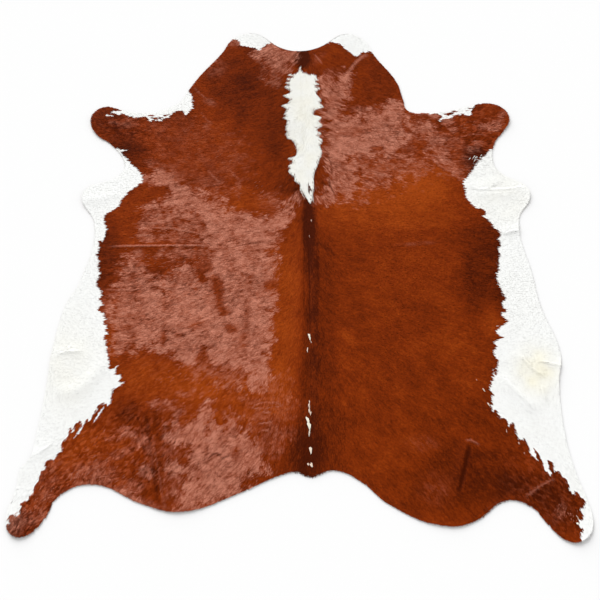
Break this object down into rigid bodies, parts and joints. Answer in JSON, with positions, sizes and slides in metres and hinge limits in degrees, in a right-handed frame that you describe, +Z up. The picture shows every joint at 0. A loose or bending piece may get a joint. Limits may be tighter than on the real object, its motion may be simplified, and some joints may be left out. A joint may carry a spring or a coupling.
{
  "type": "cowhide rug",
  "caption": "Whole brown and white hair-on cowhide, laid flat on a floor as a rug, with neck, shanks, flanks and rump outline.",
  "frame": {"origin": "on the floor, at the middle of the hide's bounding box", "axes": "+X to the hide's right side seen from above, +Y along the backbone towards the neck, +Z up out of the hair"},
  "size_m": [2.0069, 2.2547, 0.0131],
  "materials": {
    "coat": "hair-on hide: short glossy reddish brown hair lying flat, with white belly, shank and neck markings"
  },
  "bodies": {
    "root": {"hide": "coat"}
  },
  "joints": []
}
